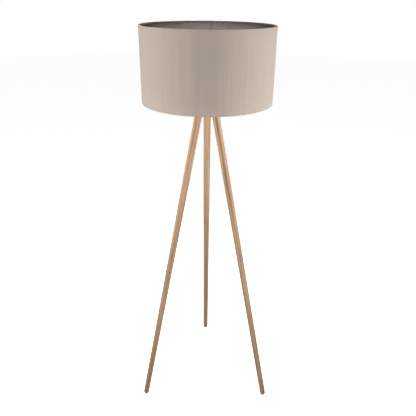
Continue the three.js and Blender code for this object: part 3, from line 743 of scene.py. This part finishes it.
class LAMP_OT_shade_cloth(bpy.types.Operator):
    """Make the shade's ribbed cloth, turned in over both rings"""

    bl_idname = "lamp.shade_cloth"
    bl_label = "Shade Cloth"

    def execute(self, context):
        sizes = context.scene.lamp_shade
        low, high = floor_of("shade_fabric"), top_of("shade_fabric")
        slit, slit_depth = 3.2 * MM, 1.5 * MM  # where an arm passes under the bottom hem
        lap, lap_rise = sizes.seam_width / reach("shade_fabric"), 0.3 * MM
        count = sizes.rib_count * 5
        turns = [sizes.seam_turn + TURN * step / count for step in range(count)]
        arms = [math.radians(degrees) for degrees in SIDES.values()]

        def rows_at(angle):
            nearest = min(abs(math.remainder(angle - arm, TURN)) for arm in arms)
            open_here = max(0.0, 1 - nearest * reach("shade_fabric") / slit)
            notch = HEM_DEPTH - (HEM_DEPTH - slit_depth) * min(1.0, open_here * 3)
            over = lap_rise if 0 <= (angle - sizes.seam_turn) % TURN < lap else 0.0
            return [
                (r + (over if side == 0 else 0), z, side)
                for r, z, side in cloth_section(low, high, notch)
            ]

        blank = wrapped("shade_cloth_blank", turns, [rows_at(turn) for turn in turns])
        piece = rib_recipe().make(
            "shade_cloth",
            {
                "Rib Count": sizes.rib_count,
                "Rib Depth": sizes.rib_depth,
                "Unevenness": 0.35,
                "Column": COLUMN,
                "Material": shade_cloth(),
            },
            blank,
        )
        settle(piece, "shade", "shade_cloth", "shade_fabric")
        return {"FINISHED"}


class LAMP_OT_shade_lining(bpy.types.Operator):
    """Make the stiff lining with its lap seam at the back"""

    bl_idname = "lamp.shade_lining"
    bl_label = "Shade Lining"

    def execute(self, context):
        sizes = context.scene.lamp_shade
        low, high = floor_of("shade_liner"), top_of("shade_liner")
        outer = reach("shade_liner")
        half = sizes.seam_width / 2 / outer
        soft = 0.4 * MM / outer
        thickness, lap_rise = 0.7 * MM, 0.35 * MM
        centre = sizes.seam_turn
        edges = [-half - soft, -half, half, half + soft]
        even = [TURN * step / 360 for step in range(360)]
        far = [turn for turn in even if half * 1.5 < turn < TURN - half * 1.5]
        turns = [centre + turn for turn in [*edges, *far]]

        def rows_at(angle):
            off = abs(math.remainder(angle - centre, TURN))
            seam = 1.0 if off <= half + soft / 2 else 0.0
            inner = outer - thickness - seam * lap_rise
            return [(outer, low, 0.0), (outer, high, 0.0), (inner, high, seam), (inner, low, seam)]

        sheet = wrapped("shade_lining", turns, [rows_at(turn) for turn in turns])
        piece = stand("shade_lining", sheet, shade_lining())
        settle(piece, "shade", "shade_lining", "shade_liner")
        return {"FINISHED"}


def arm_points(degrees, steps=40):
    """The middle line of a spider arm, from the plate down to the bottom ring."""
    start = reach("spider_plate") - 4 * MM
    end = reach("shade_bottom_ring") - WIRE
    high = top_of("spider_plate") - 0.75 * MM
    low = middle("shade_bottom_ring").z
    along = outward(degrees)
    flat, bend = 0.045, 0.07  # shares of the arm that are level, and that curve, at each end
    points = []
    for step in range(steps + 1):
        t = step / steps
        ease = min(1.0, max(0.0, (t - flat) / (1 - 2 * flat)))
        if ease < bend:
            drop = ease * ease / (2 * bend)
        elif ease > 1 - bend:
            drop = 1 - bend - (1 - ease) ** 2 / (2 * bend)
        else:
            drop = ease - bend / 2
        drop /= 1 - bend
        height = high + (low - high) * min(1.0, max(0.0, drop))
        points.append(Vector((COLUMN.x, COLUMN.y, height)) + along * (start + (end - start) * t))
    return points


class LAMP_OT_shade_spider(bpy.types.Operator):
    """Make the centre plate and the three wire arms that carry the shade"""

    bl_idname = "lamp.shade_spider"
    bl_label = "Spider"

    def execute(self, context):
        coat = powder_coat()
        low, high, rim = extents("spider_plate")
        hole = extents("shade_ring")[2] - RING_WALL
        path = eased(
            (hole, low, 0.3), (rim, low, 0.5), (rim, high, 0.5), (hole, high, 0.3), steps=3
        )
        settle(turned("centre_plate", path, coat), "shade", "white_wire", "spider_plate")
        for side, degrees in SIDES.items():
            arm = swept("arm_" + side, arm_points(degrees), WIRE, coat)
            settle(arm, "shade", "white_wire", "spider_arm_" + side)
        dress(coat, "shade_top_ring", "shade_bottom_ring")
        return {"FINISHED"}


# ---- legs and hub
def leg_recipe():
    """A tapered round leg between two points, domed at the foot and cut level above its pad."""
    leg = Recipe(
        "turned leg",
        {
            "Foot": "Vector", "Along": "Vector", "Across": "Vector", "Length": "Float",
            "Foot Radius": "Float", "Top Radius": "Float", "Pad Height": "Float",
            "Log Place": "Vector",
        },
    )
    grid = leg.add("GeometryNodeMeshGrid", inputs={"Vertices X": 57, "Vertices Y": 141})
    u, t, _ = leg.parts(leg.add("GeometryNodeInputPosition").outputs[0])
    turn = (u + 0.5) * TURN
    share = (t + 0.5) * math.pi
    length = leg.given("Length")
    run = (1.0 - share.cosine()) * 0.5 * length
    foot = leg.given("Foot Radius")
    taper = foot + (leg.given("Top Radius") - foot) * run / length
    near = 1.0 - (run / foot).lower(1.0)
    dome = (1.0 - near * near).higher(0.0) ** 0.5
    # A small chamfer at the top, and a closed end.
    chamfer = (run - length + 0.0012).higher(0.0) * 0.9
    closed = (t + 0.5).step(1.0, 0.9999)
    radius = (taper * dome - chamfer) * closed
    side = radius * turn.cosine()
    front = radius * turn.sine()
    grain = leg.vectors("ADD", leg.joined(side, front, run), leg.given("Log Place").socket)
    kept = leg.add(
        "GeometryNodeStoreNamedAttribute",
        {"data_type": "FLOAT_VECTOR", "domain": "POINT"},
        {"Geometry": grid.outputs["Mesh"], "Name": "grain", "Value": grain},
    )
    along, across = leg.given("Along").socket, leg.given("Across").socket
    third = leg.vectors("CROSS_PRODUCT", along, across)
    place = leg.given("Foot").socket
    for direction, amount in ((along, run), (across, side), (third, front)):
        place = leg.vectors("ADD", place, leg.scaled(direction, amount))
    x, y, z = leg.parts(place)
    level = leg.joined(x, y, z.higher(leg.given("Pad Height")))
    moved = leg.add(
        "GeometryNodeSetPosition", inputs={"Geometry": kept.outputs[0], "Position": level}
    )
    merged = leg.add(
        "GeometryNodeMergeByDistance", inputs={"Geometry": moved.outputs[0], "Distance": 1e-6}
    )
    leg.end(merged.outputs[0])
    return leg


class LAMP_OT_legs(bpy.types.Operator):
    """Make the three turned oak legs and their felt pads"""

    bl_idname = "lamp.legs"
    bl_label = "Legs"

    def execute(self, context):
        sizes = context.scene.lamp_legs
        recipe = leg_recipe()
        pad_radius = reach("foot_pad_rear")
        for index, (side, degrees) in enumerate(SIDES.items()):
            out = outward(degrees)
            pad = middle("foot_pad_" + side)
            level = floor_of("leg_" + side)
            dome_height = level + math.sqrt(sizes.foot_radius**2 - pad_radius**2)
            dome = Vector((pad.x, pad.y, dome_height))
            stud = middle("leg_stud_" + side)
            along = (stud - dome).normalized()
            foot = dome - along * sizes.foot_radius
            overhang = sizes.top_radius * out.dot(-along)
            length = (top_of("leg_" + side) - foot.z - overhang) / along.z
            piece = recipe.make(
                "oak_leg_" + side,
                {
                    "Foot": foot,
                    "Along": along,
                    "Across": Vector((-out.y, out.x, 0)),
                    "Length": length,
                    "Foot Radius": sizes.foot_radius,
                    "Top Radius": sizes.top_radius,
                    "Pad Height": level,
                    "Log Place": (0.11 * index, 0.07 * index, 0.0),
                    "Material": oak("lengthways"),
                },
            )
            settle(piece, "stand", "oak", "leg_" + side)
            rim, top = pad_radius / MM, top_of("foot_pad_" + side) / MM
            path = [*eased((0, 0, 0), (rim, 0, 0.3), (rim, top, 0.4)), Vector((0, top))]
            cushion = turned("felt_pad_" + side, path, felt(), pad, 48)
            settle(cushion, "stand", "felt", "foot_pad_" + side)
        dress(zinc(), *["leg_stud_" + side for side in SIDES])
        dress(brass(), *["insert_nut_" + side for side in SIDES])
        return {"FINISHED"}


def drill(radius, bottom, top, centre=COLUMN):
    """A plain cylinder, in millimetres, to cut with."""
    profile = [Vector((r, z)) for r, z in ((0, bottom), (radius, bottom), (radius, top), (0, top))]
    return turned("drill", profile, None, centre, 64)


class LAMP_OT_hub(bpy.types.Operator):
    """Make the turned oak hub with its three sloped sockets"""

    bl_idname = "lamp.hub"
    bl_label = "Hub"

    def execute(self, context):
        low, high, rim = extents("hub")
        land, slope = 14.0, math.tan(math.radians(12.2))  # flat middle, and fall outside it
        edge = low + (rim - land) * slope
        path = eased(
            (0, low, 0), (land, low, 0.5), (rim, edge, 2.2), (rim, high, 5.0), (0, high, 0), steps=8
        )
        block = turned("hub_block", path, oak("level"), sides=144)
        nut_room, nut_depth = 10.0, 9.0
        tools = [drill(TUBE_HOLE, low - 1, high + 1), drill(nut_room, low - 1, low + nut_depth)]
        socket_radius, stud_length = 13.55, 8 * MM
        for side in SIDES:
            leg_top = middle("insert_nut_" + side)
            along = (leg_top - middle("leg_stud_" + side)).normalized()
            tool = drill(socket_radius, -20, 0, Vector((0, 0, 0)))
            aim = along.to_track_quat("Z", "Y").to_matrix().to_4x4()
            tool.data.transform(Matrix.Translation(leg_top - along * stud_length) @ aim)
            tools.append(tool)
        for tool in tools:
            cut = block.modifiers.new("cut", "BOOLEAN")
            cut.operation = "DIFFERENCE"
            cut.solver = "MANIFOLD"
            cut.object = tool
        graph = bpy.context.evaluated_depsgraph_get()
        mesh = bpy.data.meshes.new_from_object(block.evaluated_get(graph))
        for used in [block, *tools]:
            bpy.data.objects.remove(used)
        settle(stand("oak_hub", mesh, oak("level"), 30.0), "stand", "oak", "hub")
        return {"FINISHED"}


# ---- fixings on the column
def nut(name, node, material):
    """A hexagon nut with both faces chamfered to a circle."""
    low, high = BOXES[node]
    flats = (high.x - low.x) / 2
    bore, lead, chamfer = 5.05 * MM, 0.4 * MM, 0.7 * MM
    face, side = flats * 1.02, flats * 1.13
    limits = [(low.z, face), (low.z + chamfer, side), (high.z - chamfer, side), (high.z, face)]
    inside = [(bore + lead, high.z), (bore, high.z - lead), (bore, low.z + lead)]
    inside.append((bore + lead, low.z))
    turns = [TURN * step / 72 for step in range(72)]
    sections = []
    for angle in turns:
        corner = flats / math.cos((angle + TURN / 12) % (TURN / 6) - TURN / 12)
        sections.append([*[(min(corner, limit), z) for z, limit in limits], *inside])
    piece = stand(name, ring_mesh(name, turns, sections), material, 25.0)
    settle(piece, "stand", "zinc", node)


def thread_recipe():
    """A raised helical thread round an upright axis."""
    thread = Recipe(
        "screw thread",
        {
            "Base": "Vector", "Radius": "Float", "Height": "Float",
            "Turns": "Float", "Ridge": "Float",
        },
    )
    spiral = thread.add(
        "GeometryNodeCurveSpiral",
        inputs={
            "Resolution": 64,
            "Rotations": thread.given("Turns"),
            "Start Radius": thread.given("Radius"),
            "End Radius": thread.given("Radius"),
            "Height": thread.given("Height"),
        },
    )
    ridge = thread.add(
        "GeometryNodeCurvePrimitiveCircle",
        inputs={"Resolution": 8, "Radius": thread.given("Ridge")},
    )
    raised = thread.add(
        "GeometryNodeCurveToMesh",
        inputs={"Curve": spiral.outputs[0], "Profile Curve": ridge.outputs[0], "Fill Caps": True},
    )
    thread.end_with(raised.outputs[0])
    return thread


class LAMP_OT_column(bpy.types.Operator):
    """Make the nuts, washers and cord bush that hold the hub on its threaded tube"""

    bl_idname = "lamp.column"
    bl_label = "Column Fixings"

    def execute(self, context):
        steel = zinc()
        for place in ("lower", "upper"):
            node = place + "_washer"
            low, high, rim = extents(node)
            path = eased(
                (TUBE_HOLE, low, 0.2), (rim, low, 0.4), (rim, high, 0.4), (TUBE_HOLE, high, 0.2),
                steps=3,
            )
            settle(turned(place + "_disc", path, steel), "stand", "zinc", node)
            nut(place + "_hexagon", place + "_nut", steel)
        low, high, rim = extents("cord_bush")
        mouth, step = 3.8, low + 3.5
        path = eased(
            (mouth + 1.6, low, 0.7), (rim, low, 2.4), (rim, high, 0.5), (TUBE_HOLE, high, 0.3),
            (TUBE_HOLE, step, 0.0), (mouth, step, 0.2), (mouth, low + 1.8, 0.8), steps=6,
        )
        settle(turned("bush", path, white_plastic()), "stand", "white_plastic", "cord_bush")
        dress(steel, "threaded_tube")
        return {"FINISHED"}


# ---- lampholder, ring and bulb
class LAMP_OT_lampholder(bpy.types.Operator):
    """Make the lampholder's cap and threaded sleeve, and finish its inner pieces"""

    bl_idname = "lamp.lampholder"
    bl_label = "Lampholder"

    def execute(self, context):
        plastic = white_plastic()
        low, high, rim = extents("lampholder_cap")
        stem, ledge, well = 8.3, 14.5, 16.8
        neck, shelf = low + 6, high - 4.8
        path = eased(
            (TUBE_HOLE, low, 0.2), (stem, low, 0.6), (stem, neck, 1.2), (13.5, neck, 3.0),
            (rim, neck + 6.5, 4.5), (rim, high, 0.5), (CAP_SEAT, high, 0.2), (CAP_SEAT, shelf, 0.1),
            (ledge, shelf, 0.1), (ledge, high - 6.3, 0.4), (well, high - 9, 1.0),
            (well, neck + 9.0, 3.5), (12.0, neck + 2.2, 2.0), (TUBE_HOLE, neck + 2.0, 0.2),
            steps=6,
        )
        settle(turned("holder_cap", path, plastic), "stand", "white_plastic", "lampholder_cap")
        low, high, flange = extents("lampholder_sleeve")
        body, bore, throat = 19.2, 17.4, 15.4
        path = eased(
            (CAP_SEAT, low, 0.2), (flange, low, 0.8), (flange, low + 3, 0.8), (body, low + 3, 0.4),
            (body, high, 0.9), (bore, high, 0.4), (bore, low + 7.5, 0.3), (throat, low + 7.5, 0.3),
            (throat, low + 4.5, 0.1), (CAP_SEAT, low + 4.5, 0.1), steps=4,
        )
        turns, pitch = 11, 2.5
        sleeve = thread_recipe().make(
            "holder_sleeve",
            {
                "Base": (COLUMN.x, COLUMN.y, (high - 2.2 - turns * pitch) * MM),
                "Radius": body * MM,
                "Height": turns * pitch * MM,
                "Turns": float(turns),
                "Ridge": 0.6 * MM,
                "Material": plastic,
            },
            turned_blank("sleeve_blank", path, plastic),
        )
        settle(sleeve, "stand", "white_plastic", "lampholder_sleeve")
        dress(moulded("glazed_ceramic", (0.72, 0.68, 0.6), 0.18, 0.6), "lampholder_core")
        dress(nickel(), "screw_shell")
        dress(brass(), "terminal_screw_a", "terminal_screw_b", "centre_contact")
        dress(zinc(), "cap_grub_screw")
        return {"FINISHED"}


def grip_recipe():
    """Stands round grip ribs in a circle against a ring."""
    grip = Recipe(
        "ring grip",
        {
            "Base": "Vector", "Circle": "Float", "Count": "Int",
            "Rib Radius": "Float", "Rib Height": "Float",
        },
    )
    circle = grip.add(
        "GeometryNodeMeshCircle",
        inputs={"Vertices": grip.given("Count"), "Radius": grip.given("Circle")},
    )
    rib = grip.add(
        "GeometryNodeMeshCylinder",
        inputs={
            "Vertices": 16,
            "Side Segments": 1,
            "Radius": grip.given("Rib Radius"),
            "Depth": grip.given("Rib Height"),
        },
    )
    ribs = grip.add(
        "GeometryNodeInstanceOnPoints",
        inputs={"Points": circle.outputs[0], "Instance": rib.outputs[0]},
    )
    grip.end_with(ribs.outputs[0])
    return grip


class LAMP_OT_shade_ring(bpy.types.Operator):
    """Make the ribbed screw ring that clamps the shade, and its washer"""

    bl_idname = "lamp.shade_ring"
    bl_label = "Shade Ring"

    def execute(self, context):
        plastic = white_plastic()
        low, high, rim = extents("shade_ring")
        bore = rim - RING_WALL
        grip = bore + 3
        path = eased(
            (bore, low, 0.4), (rim, low, 0.9), (rim, low + 2.5, 0.9), (grip + 1, low + 3.5, 0.6),
            (grip, high, 0.8), (bore, high, 0.5), steps=4,
        )
        rib_height = 6.2
        ring = grip_recipe().make(
            "clamp_ring",
            {
                "Base": (COLUMN.x, COLUMN.y, (high - 0.9 - rib_height / 2) * MM),
                "Circle": (grip + 0.3) * MM,
                "Count": 12,
                "Rib Radius": 1.3 * MM,
                "Rib Height": rib_height * MM,
                "Material": plastic,
            },
            turned_blank("ring_blank", path, plastic),
        )
        settle(ring, "ring", "white_plastic", "shade_ring")
        low, high, rim = extents("ring_washer")
        path = eased(
            (bore, low, 0.2), (rim, low, 0.3), (rim, high, 0.3), (bore, high, 0.2), steps=3
        )
        washer = turned("clamp_washer", path, plastic)
        settle(washer, "ring_thread", "white_plastic", "ring_washer")
        return {"FINISHED"}


class LAMP_OT_bulb(bpy.types.Operator):
    """Make the opal bulb with its screw cap"""

    bl_idname = "lamp.bulb"
    bl_label = "Bulb"

    def execute(self, context):
        low, high, _ = extents("bulb_diffuser")
        radius, wall, steps = 30.0, 1.2, 32
        centre = high - radius
        tilt = math.asin((low - centre) / radius)

        def arc(r):
            """The dome's curve, from its edge up to its crown."""
            for step in range(steps + 1):
                angle = tilt + (math.pi / 2 - tilt) * step / steps
                across = r * math.cos(angle) if step < steps else 0
                yield Vector((across, max(low, centre + r * math.sin(angle))))

        path = [*reversed([*arc(radius - wall)]), *arc(radius)]
        dome = turned("opal_dome", path, moulded("opal", (0.86, 0.85, 0.81), 0.28, 0.45))
        settle(dome, "bulb", "opal", "bulb_diffuser")

        low, high, rim = extents("bulb_body")
        neck, spigot, spigot_height, wall, steps = 14.0, 11.2, 8, 2.0, 24
        base = low + spigot_height
        flare = []
        for step in range(steps + 1):
            t = step / steps
            swell = t * t * (3 - 2 * t)
            flare.append(Vector((neck + (rim - neck) * swell, base + (high - base) * t)))
        hollow = [Vector((p.x - wall, p.y)) for p in reversed(flare[2:])]
        path = [
            Vector((spigot - wall, low)), Vector((spigot, low)), Vector((spigot, base)),
            *flare, *hollow, Vector((spigot - wall, base + wall)),
        ]
        body = turned("bulb_collar", path, white_plastic())
        settle(body, "bulb", "white_plastic", "bulb_body")

        low, high, crest = extents("bulb_cap")
        root, lead, wall = crest - 0.9, 2.5, 0.6
        waves, run, steps = 4, 15, 64
        outside = [Vector((crest - lead, low))]
        for step in range(steps + 1):
            t = step / steps
            wave = 0.5 - 0.5 * math.cos(TURN * waves * t)
            outside.append(Vector((root + (crest - root) * wave, low + lead + run * t)))
        outside.append(Vector((root, high)))
        inner = [(root - wall, high), (root - wall, low + 3.1), (crest - 3.1, low + wall)]
        inner = [Vector(point) for point in inner]
        cap = turned("screw_cap", [*outside, *inner], nickel(), crease=50.0)
        settle(cap, "bulb", "nickel", "bulb_cap")
        dress(moulded("black_glass", (0.012, 0.012, 0.013), 0.08, 0.6), "bulb_insulator")
        dress(moulded("solder_mask", (0.8, 0.79, 0.74), 0.4, 0.5), "bulb_led_board")
        dress(zinc(), "bulb_tip")
        return {"FINISHED"}


# ---- studio
def softbox(name, place, aim, width, height, power, spread=180.0):
    light = bpy.data.lights.new(name, "AREA")
    light.spread = math.radians(spread)
    light.shape = "RECTANGLE"
    light.size, light.size_y = width, height
    light.energy = power
    lamp = bpy.data.objects.new(name, light)
    lamp.location = place
    lamp.rotation_euler = (Vector(aim) - Vector(place)).to_track_quat("-Z", "Y").to_euler()
    bpy.context.scene.collection.objects.link(lamp)


class LAMP_OT_studio(bpy.types.Operator):
    """Set the camera, the pale floor and the soft light"""

    bl_idname = "lamp.studio"
    bl_label = "Studio"

    def execute(self, context):
        sizes = context.scene.lamp_studio
        scene = context.scene
        scene.view_settings.view_transform = "Standard"

        lens = bpy.data.cameras.new("camera")
        lens.lens, lens.sensor_width = 39.39, 36.0
        lens.clip_end = 60.0
        camera = bpy.data.objects.new("camera", lens)
        pitch, roll = 0.4428, 0.0108
        ahead = Vector((0, math.cos(pitch), -math.sin(pitch)))
        level, up = Vector((1, 0, 0)), Vector((0, math.sin(pitch), math.cos(pitch)))
        right = level * math.cos(roll) + up * math.sin(roll)
        over = up * math.cos(roll) - level * math.sin(roll)
        turn = Matrix((right, over, -ahead)).transposed().to_4x4()
        eye = Vector((0.0065, COLUMN.y - 1.5895, 1.578))
        camera.matrix_world = Matrix.Translation(eye) @ turn
        scene.collection.objects.link(camera)
        scene.camera = camera

        world = bpy.data.worlds.new("studio")
        scene.world = world
        world.use_nodes = True
        room = Bench(world.node_tree)
        room.tree.nodes.clear()
        seen = room.add("ShaderNodeLightPath").outputs["Is Camera Ray"]
        strength = Level(room.tree, seen) * (1.0 - sizes.air) + sizes.air
        glow = room.add(
            "ShaderNodeBackground", inputs={"Color": (1.0, 0.995, 0.985, 1), "Strength": strength}
        )
        room.add("ShaderNodeOutputWorld", inputs={"Surface": glow.outputs[0]})

        bm = bmesh.new()
        bmesh.ops.create_circle(bm, cap_ends=True, segments=96, radius=12.0)
        mesh = bpy.data.meshes.new("studio_floor")
        bm.to_mesh(mesh)
        bm.free()
        ground = bpy.data.objects.new("studio_floor", mesh)
        scene.collection.objects.link(ground)
        paper = Finish("studio_paper", Specular_IOR_Level=0.1)
        specks = paper.speckle((3.0, 3.0, 3.0), 2.0)
        tint = paper.mixed(specks, (0.9, 0.9, 0.895, 1), (0.92, 0.92, 0.915, 1))
        paper.wear(tint, 0.9 + specks * 0.05)
        plug(paper.tree, paper.shader.inputs["Emission Color"], (1, 1, 1, 1))
        plug(paper.tree, paper.shader.inputs["Emission Strength"], 0.92)
        mesh.materials.append(paper.material)
        ground.visible_diffuse = False

        height = 1.16
        waist, side = (0, 0, height), sizes.side_power
        softbox("left_softbox", (-1.4, -0.35, height), waist, 0.6, 0.6, side, 130.0)
        softbox("right_softbox", (1.4, -0.3, height), waist, 0.6, 0.6, side * 0.72, 104.0)
        softbox("back_softbox", (0.2, 1.7, height), waist, 0.7, 0.5, sizes.back_power)
        softbox("top_softbox", (0, -0.9, 2.0), (0, 0.19, 1.45), 0.5, 0.12, sizes.top_power, 30.0)
        over, under = (0, COLUMN.y, 2.3), (0, COLUMN.y, 1.3)
        softbox("crown_softbox", over, under, 0.5, 0.5, sizes.crown_power)
        softbox("front_softbox", (0.1, -1.7, height - 0.18), waist, 0.7, 0.5, sizes.front_power)
        return {"FINISHED"}


# ---- panel and registration
MAKERS = (
    LAMP_OT_studio,
    LAMP_OT_legs,
    LAMP_OT_hub,
    LAMP_OT_column,
    LAMP_OT_lampholder,
    LAMP_OT_shade_ring,
    LAMP_OT_bulb,
    LAMP_OT_shade_spider,
    LAMP_OT_shade_lining,
    LAMP_OT_shade_cloth,
)
GROUPS = {
    "lamp_shade": LampShadeSizes,
    "lamp_legs": LampLegSizes,
    "lamp_studio": LampStudioSizes,
}


class LAMP_PT_panel(bpy.types.Panel):
    """The lamp's sizes, colours and makers"""

    bl_idname = "LAMP_PT_panel"
    bl_label = "Tripod Floor Lamp"
    bl_space_type = "VIEW_3D"
    bl_region_type = "UI"
    bl_category = "Lamp"

    def draw(self, context):
        for name in GROUPS:
            box = self.layout.box()
            group = getattr(context.scene, name)
            for key in group.__annotations__:
                box.prop(group, key)
        for maker in MAKERS:
            self.layout.operator(maker.bl_idname)


def register():
    for made in (*GROUPS.values(), *MAKERS, LAMP_PT_panel):
        bpy.utils.register_class(made)
    for name, group in GROUPS.items():
        setattr(bpy.types.Scene, name, PointerProperty(type=group))


def unregister():
    for name in GROUPS:
        delattr(bpy.types.Scene, name)
    for made in (LAMP_PT_panel, *reversed(MAKERS), *GROUPS.values()):
        bpy.utils.unregister_class(made)


def main():
    register()
    for maker in MAKERS:
        getattr(bpy.ops.lamp, maker.bl_idname.split(".")[1])()


if __name__ == "__main__":
    main()
